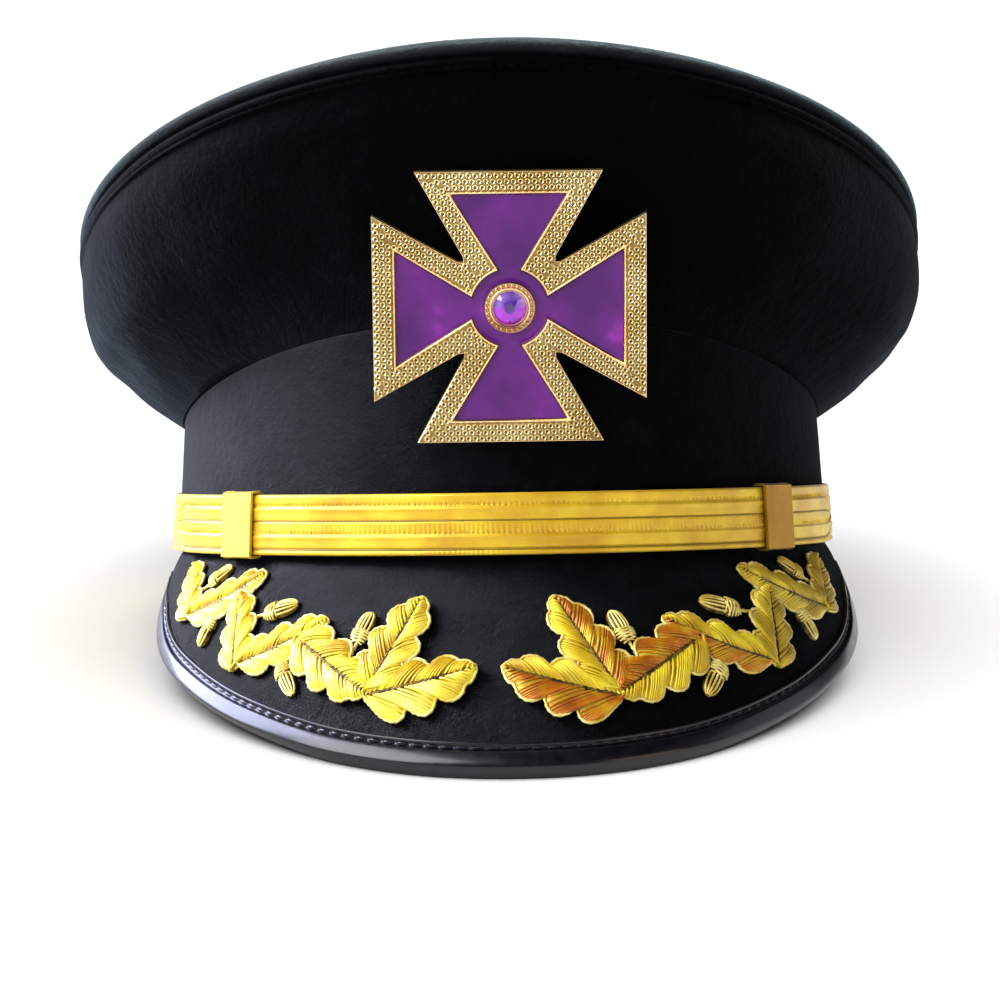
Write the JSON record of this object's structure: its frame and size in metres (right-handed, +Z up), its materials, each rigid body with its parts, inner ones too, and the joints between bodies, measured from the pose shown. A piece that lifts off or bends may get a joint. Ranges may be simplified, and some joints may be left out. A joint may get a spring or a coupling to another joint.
{
  "type": "peaked fatigue cap",
  "caption": "Black cloth peaked cap with a wide soft crown, gold lace strap, oak leaf embroidery on a bound peak and an enamelled cross badge with a violet stone.",
  "frame": {"origin": "on the surface that the cap stands on, under the middle of its outline", "axes": "+Z up, -Y towards the front of the peak, +X towards the wearer's left side; the cap is the same on both sides of X = 0"},
  "size_m": [0.2278, 0.2806, 0.1662],
  "materials": {
    "cloth": "matt black wool cloth",
    "patent": "gloss black patent",
    "lace": "woven gold wire lace",
    "bullion": "gold bullion embroidery",
    "gilt": "polished and stippled gilt",
    "enamel": "translucent purple enamel",
    "stone": "cut violet stone"
  },
  "bodies": {
    "root": {"band": "cloth", "crown_side": "cloth", "crown_top": "cloth", "peak": "cloth", "peak_binding": "patent", "peak_embroidery_left": "bullion", "peak_embroidery_right": "bullion", "strap_under": "lace", "strap_over": "lace", "keeper_left": "lace", "keeper_right": "lace", "side_button_left": "gilt", "side_button_right": "gilt", "badge_plate": "gilt", "badge_enamel": "enamel", "badge_stone": "stone"}
  },
  "joints": []
}
